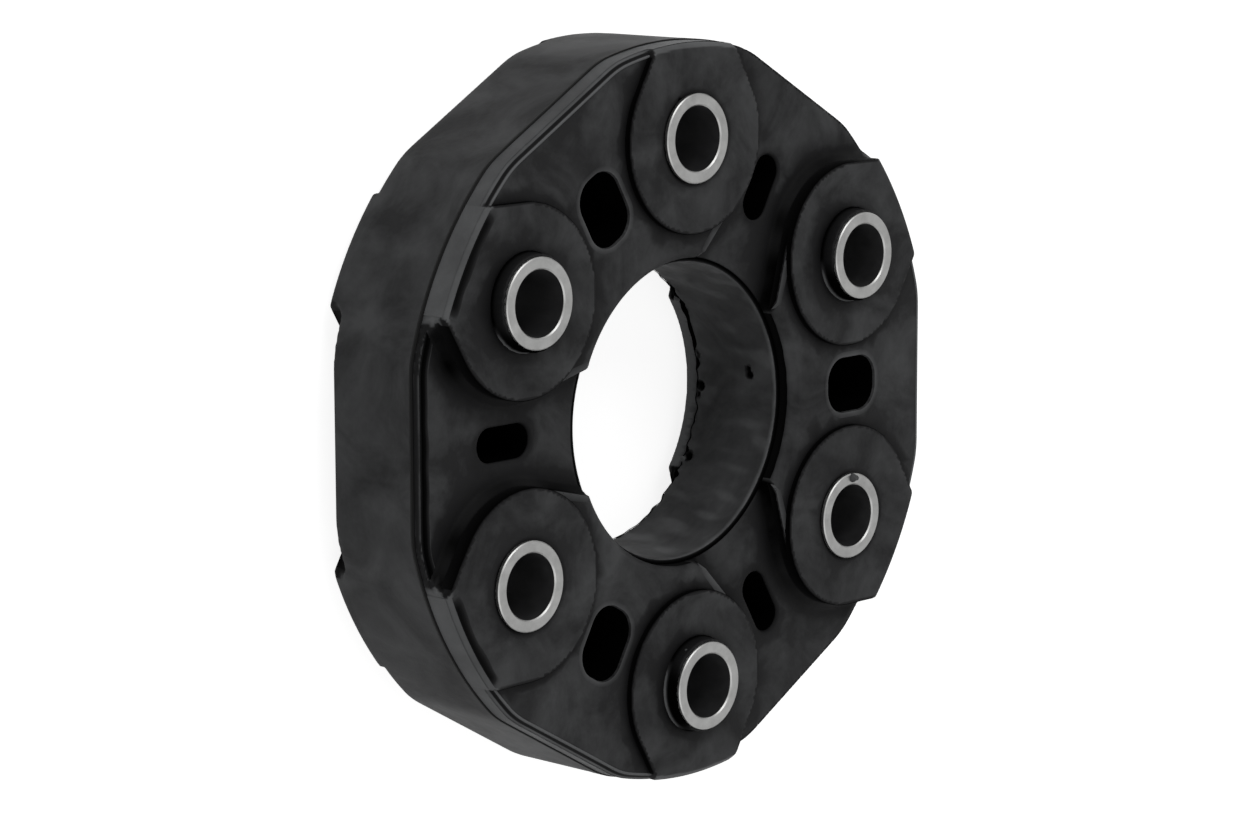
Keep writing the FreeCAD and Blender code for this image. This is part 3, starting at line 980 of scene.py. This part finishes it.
class FLEXDISC_OT_mould_lines(bpy.types.Operator):
    """Makes the mould line round the rim, black with painted shade in its crevice, and the beads of
    flash on the thick links
    """

    bl_idname = "flexdisc.mould_lines"
    bl_label = "Mould lines"

    def execute(self, context):
        scene = context.scene
        size = millimetres(scene.flex_rubber)
        finish = scene.flex_finish
        level, step = size["parting_height"], size["parting_step"]
        outer, inner = -0.9 * RIM_SKIN, step + 0.2
        angle = np.linspace(0, 2 * math.pi, 1440, endpoint=False)
        points, faces = rim_strip(angle, (outer, outer, inner, inner),
                                  level + np.array([-0.32, 0.38, 0.5, -0.42]),
                                  wrap_rows=True, wrap_columns=True)
        # The mould line is a black sheet: painted shade in its crevice
        dark = [(points, faces[:, ::-1])]

        turn = np.linspace(0, 2 * math.pi, 10, endpoint=False)
        inset = step + size["rim_bevel"] + 0.1 + 0.24 * np.cos(turn)
        height = size["thick_height"] + 0.2 * np.sin(turn)
        beads = []
        for along in thick_spans(size):
            points, faces = rim_strip(along, inset, height, wrap_columns=True)
            beads.append(both_sides((points, faces[:, ::-1])))
        for name, patches, tone, what in (
                ("mould_lines", dark, finish.rubber_painted_shade, "mould line shade"),
                ("link_beads", beads, finish.flash, "rubbed flash")):
            piece = make_mesh(name, *joined(patches))
            finished(piece, "rubber", plain_material(what, tone, 0.6, 0.1))
        return {"FINISHED"}


class FLEXDISC_OT_collars(bpy.types.Operator):
    """Makes the rubber skins drawn up round the standing ends of the sleeves"""

    bl_idname = "flexdisc.collars"
    bl_label = "Sleeve collars"

    def execute(self, context):
        scene = context.scene
        size = millimetres(scene.flex_rubber)
        top = STANDING_END - size["collar_bare"]
        foot, skin = size["collar_foot"], size["collar"]
        profile = np.array([(foot, PAD_TOP - 0.1), (0.6 * foot + 0.4 * skin, PAD_TOP + 0.25),
                            (skin, PAD_TOP + 0.8), (skin, top - 0.25), (0.6 * skin, top),
                            (-0.02, top + 0.05)])
        out, level = profile.T
        bearing = np.linspace(0, 2 * math.pi, 144, endpoint=False)
        patches, shades = [], []
        for number in range(1, SLEEVE_COUNT + 1):
            side = 1 if number % 2 == 0 else -1
            uneven = ragged(bearing, number, 8)[:, None]
            x, y = round_sleeve(number, bearing[:, None], SLEEVE_OUTER + out * (1 + 0.03 * uneven))
            z = level + 0.12 * uneven * (level > PAD_TOP + 1)
            faces = grid_faces(len(bearing), len(profile), wrap_rows=True)
            patches.append((placed(x, y, side * z), facing(faces, side < 0)))
            # Painted shade round each collar, black at its foot; on one side its foot gets a painted
            # highlight and the collar above it is black with painted shade
            lit_foot = 90.0 - STEP_ANGLE * (number - 1) - COLLAR_LIT_FOOT_BEARINGS[number - 1]
            toward_bearing = fade(np.cos(bearing + math.radians(lit_foot)), 0.55, 0.9)[:, None]
            shades.append((COLLAR_SHADE + (COLLAR_LIT_FOOT_SHADE - COLLAR_SHADE) * toward_bearing).ravel())
        piece = make_mesh("collars", *joined(patches))
        set_shade(piece.data, np.concatenate(shades))
        finished(piece, "rubber", bpy.data.materials["moulded rubber"])
        return {"FINISHED"}


class FLEXDISC_OT_sleeves(bpy.types.Operator):
    """Makes the six turned steel sleeves"""

    bl_idname = "flexdisc.sleeves"
    bl_label = "Bolt sleeves"

    def execute(self, context):
        scene = context.scene
        size = millimetres(scene.flex_sleeves)
        segments = scene.flex_sleeves.segments
        finish = scene.flex_finish
        end = steel_material("turned steel", finish.steel_end, 0.42, 0.4)
        bore = steel_material("oxidised steel", finish.steel_bore, 0.6, 0.3)
        for number in range(1, SLEEVE_COUNT + 1):
            node = f"bolt_sleeve_{number}"
            low, high = (np.array(corner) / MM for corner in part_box(node))
            profile = sleeve_profile(size, low[2], high[2])
            middle = (low + high) / 2
            turn = np.linspace(0, 2 * math.pi, segments, endpoint=False)[:, None]
            points = wheeled(profile[:, 0], turn, profile[:, 1]) + (middle[0], middle[1], 0.0)
            faces = grid_faces(segments, len(profile), wrap_rows=True, wrap_columns=True)
            sleeve = make_mesh(f"sleeve_{number}", points, faces)
            centres = points[faces].mean(axis=1)
            from_axis = np.hypot(centres[:, 0] - middle[0], centres[:, 1] - middle[1])
            inside = (from_axis < size["bore_radius"] + 0.05).astype(np.int32)
            sleeve.data.set_sharp_from_angle(angle=SHARP_STEEL)
            finished(sleeve, "steel", end, bore, node=node)
            sleeve.data.polygons.foreach_set("material_index", inside)
        return {"FINISHED"}


def sleeve_profile(size, low, high):
    """Radius and height round a sleeve's wall: out along the top end, down outside, back up inside."""
    inner, outer = size["bore_radius"], SLEEVE_OUTER
    out, mouth = size["chamfer"], size["inner_chamfer"]
    levels = np.linspace(low + mouth, high - mouth, 12)
    bore = [(inner, z) for z in levels]
    return np.array(bore + [(inner + mouth, high), (outer - out, high), (outer, high - out),
                            (outer, low + out), (outer - out, low), (inner + mouth, low)])


class FLEXDISC_OT_cords(bpy.types.Operator):
    """Gives the sealed cord loops their finish"""

    bl_idname = "flexdisc.cords"
    bl_label = "Cord loops"

    def execute(self, context):
        cord = plain_material("polyester cord", context.scene.flex_finish.cord, 0.8)
        for name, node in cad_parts.items():
            if name.startswith("cord_loop"):
                node.data.materials.clear()
                node.data.materials.append(cord)
        return {"FINISHED"}


def seen_rays(tree):
    """1 for rays that show the surroundings to the eye: from the camera, in metal and through glass."""
    path = add_node(tree, "ShaderNodeLightPath").outputs
    seen = path["Is Camera Ray"]
    for kind in ("Is Transmission Ray", "Is Glossy Ray"):
        seen = add_node(tree, "ShaderNodeMath", {"operation": "MAXIMUM"},
                        {0: seen, 1: path[kind]}).outputs[0]
    return seen


def add_lamp(name, place, size, power):
    """Square area lamp at a place, turned to the disc's centre."""
    lamp = bpy.data.lights.new(name, "AREA")
    lamp.size = size
    lamp.energy = power
    holder = bpy.data.objects.new(name, lamp)
    holder.location = place
    holder.rotation_mode = "QUATERNION"
    holder.rotation_quaternion = (-Vector(place)).to_track_quat("-Z", "Y")
    bpy.context.scene.collection.objects.link(holder)
    return holder


class FLEXDISC_OT_stage(bpy.types.Operator):
    """Sets up the floor, the light and the camera"""

    bl_idname = "flexdisc.stage"
    bl_label = "Stage"

    def execute(self, context):
        scene = context.scene
        stage = scene.flex_stage
        self.floor(scene)
        self.sky(scene, stage.sky)
        for name, (place, width) in LAMPS.items():
            add_lamp(name, place, width, getattr(stage, name))
        self.camera(scene, stage)
        scene.view_settings.view_transform = "Standard"
        return {"FINISHED"}

    def floor(self, scene):
        """Large pale plane under the sleeves, white to the camera where nothing shades it."""
        half = np.array([-1, 1, 1, -1]) * FLOOR_HALF / MM
        corners = placed(half, np.roll(half, 1), CAD_BOX[0][2] / MM)
        floor = make_mesh("floor", corners, np.array([[0, 1, 2, 3]]), smooth=False)
        material, tree, shader, _ = new_material("pale floor", {
            "Base Color": (*scene.flex_finish.floor, 1), "Roughness": 0.9,
            "Specular IOR Level": 0.0, "Emission Color": (1, 1, 1, 1)})
        lift = mapped(tree, seen_rays(tree), 0.0, FLOOR_GLOW)
        drive(tree, shader, {"Emission Strength": lift})
        floor.data.materials.append(material)

    def sky(self, scene, strength):
        """Even light; white where the camera or a reflection looks past the floor."""
        world = bpy.data.worlds.new("studio")
        scene.world = world
        world.use_nodes = True
        tree = world.node_tree
        tree.nodes.clear()
        glow = add_node(tree, "ShaderNodeBackground", {"Color": (1, 1, 1, 1)},
                        {"Strength": mapped(tree, seen_rays(tree), strength, 1.0)})
        add_node(tree, "ShaderNodeOutputWorld", links={"Surface": glow.outputs[0]})

    def camera(self, scene, stage):
        """The photograph's camera: it looks at the aim point and is rolled about that line."""
        place, aim = Vector(stage.camera_from), Vector(stage.camera_to)
        ahead = (aim - place).normalized()
        level_right = ahead.cross(Vector((0, 0, 1))).normalized()
        level_up = level_right.cross(ahead)
        up = level_up * math.cos(stage.camera_roll) + level_right * math.sin(stage.camera_roll)
        right = ahead.cross(up)
        data = bpy.data.cameras.new("camera")
        data.sensor_width = 36.0
        data.lens = data.sensor_width * stage.focal_pixels / IMAGE_WIDTH
        camera = bpy.data.objects.new("camera", data)
        turn = Matrix((right, up, -ahead)).transposed()
        camera.matrix_world = Matrix.Translation(place) @ turn.to_4x4()
        scene.collection.objects.link(camera)
        scene.camera = camera


class FLEXDISC_PT_panel(bpy.types.Panel):
    """Lists the pieces in the sidebar"""

    bl_idname = "FLEXDISC_PT_panel"
    bl_label = "Flex disc"
    bl_space_type = "VIEW_3D"
    bl_region_type = "UI"
    bl_category = "Flex disc"

    def draw(self, context):
        for operator in OPERATORS:
            self.layout.operator(operator.bl_idname)
        for group in GROUPS:
            settings = getattr(context.scene, group)
            for key in settings.__annotations__:
                self.layout.prop(settings, key)


GROUPS = {
    "flex_rubber": FlexDiscRubber,
    "flex_sleeves": FlexDiscSleeves,
    "flex_finish": FlexDiscFinish,
    "flex_stage": FlexDiscStage,
}
OPERATORS = (
    FLEXDISC_OT_rubber_body,
    FLEXDISC_OT_linings,
    FLEXDISC_OT_mould_lines,
    FLEXDISC_OT_collars,
    FLEXDISC_OT_sleeves,
    FLEXDISC_OT_cords,
    FLEXDISC_OT_stage,
)


def register():
    for entry in (*GROUPS.values(), *OPERATORS, FLEXDISC_PT_panel):
        bpy.utils.register_class(entry)
    for name, group in GROUPS.items():
        setattr(bpy.types.Scene, name, PointerProperty(type=group))


def unregister():
    for name in GROUPS:
        delattr(bpy.types.Scene, name)
    for entry in (FLEXDISC_PT_panel, *reversed(OPERATORS), *reversed(tuple(GROUPS.values()))):
        bpy.utils.unregister_class(entry)


def main():
    register()
    for operator in OPERATORS:
        group, name = operator.bl_idname.split(".")
        getattr(getattr(bpy.ops, group), name)()


if __name__ == "__main__":
    main()
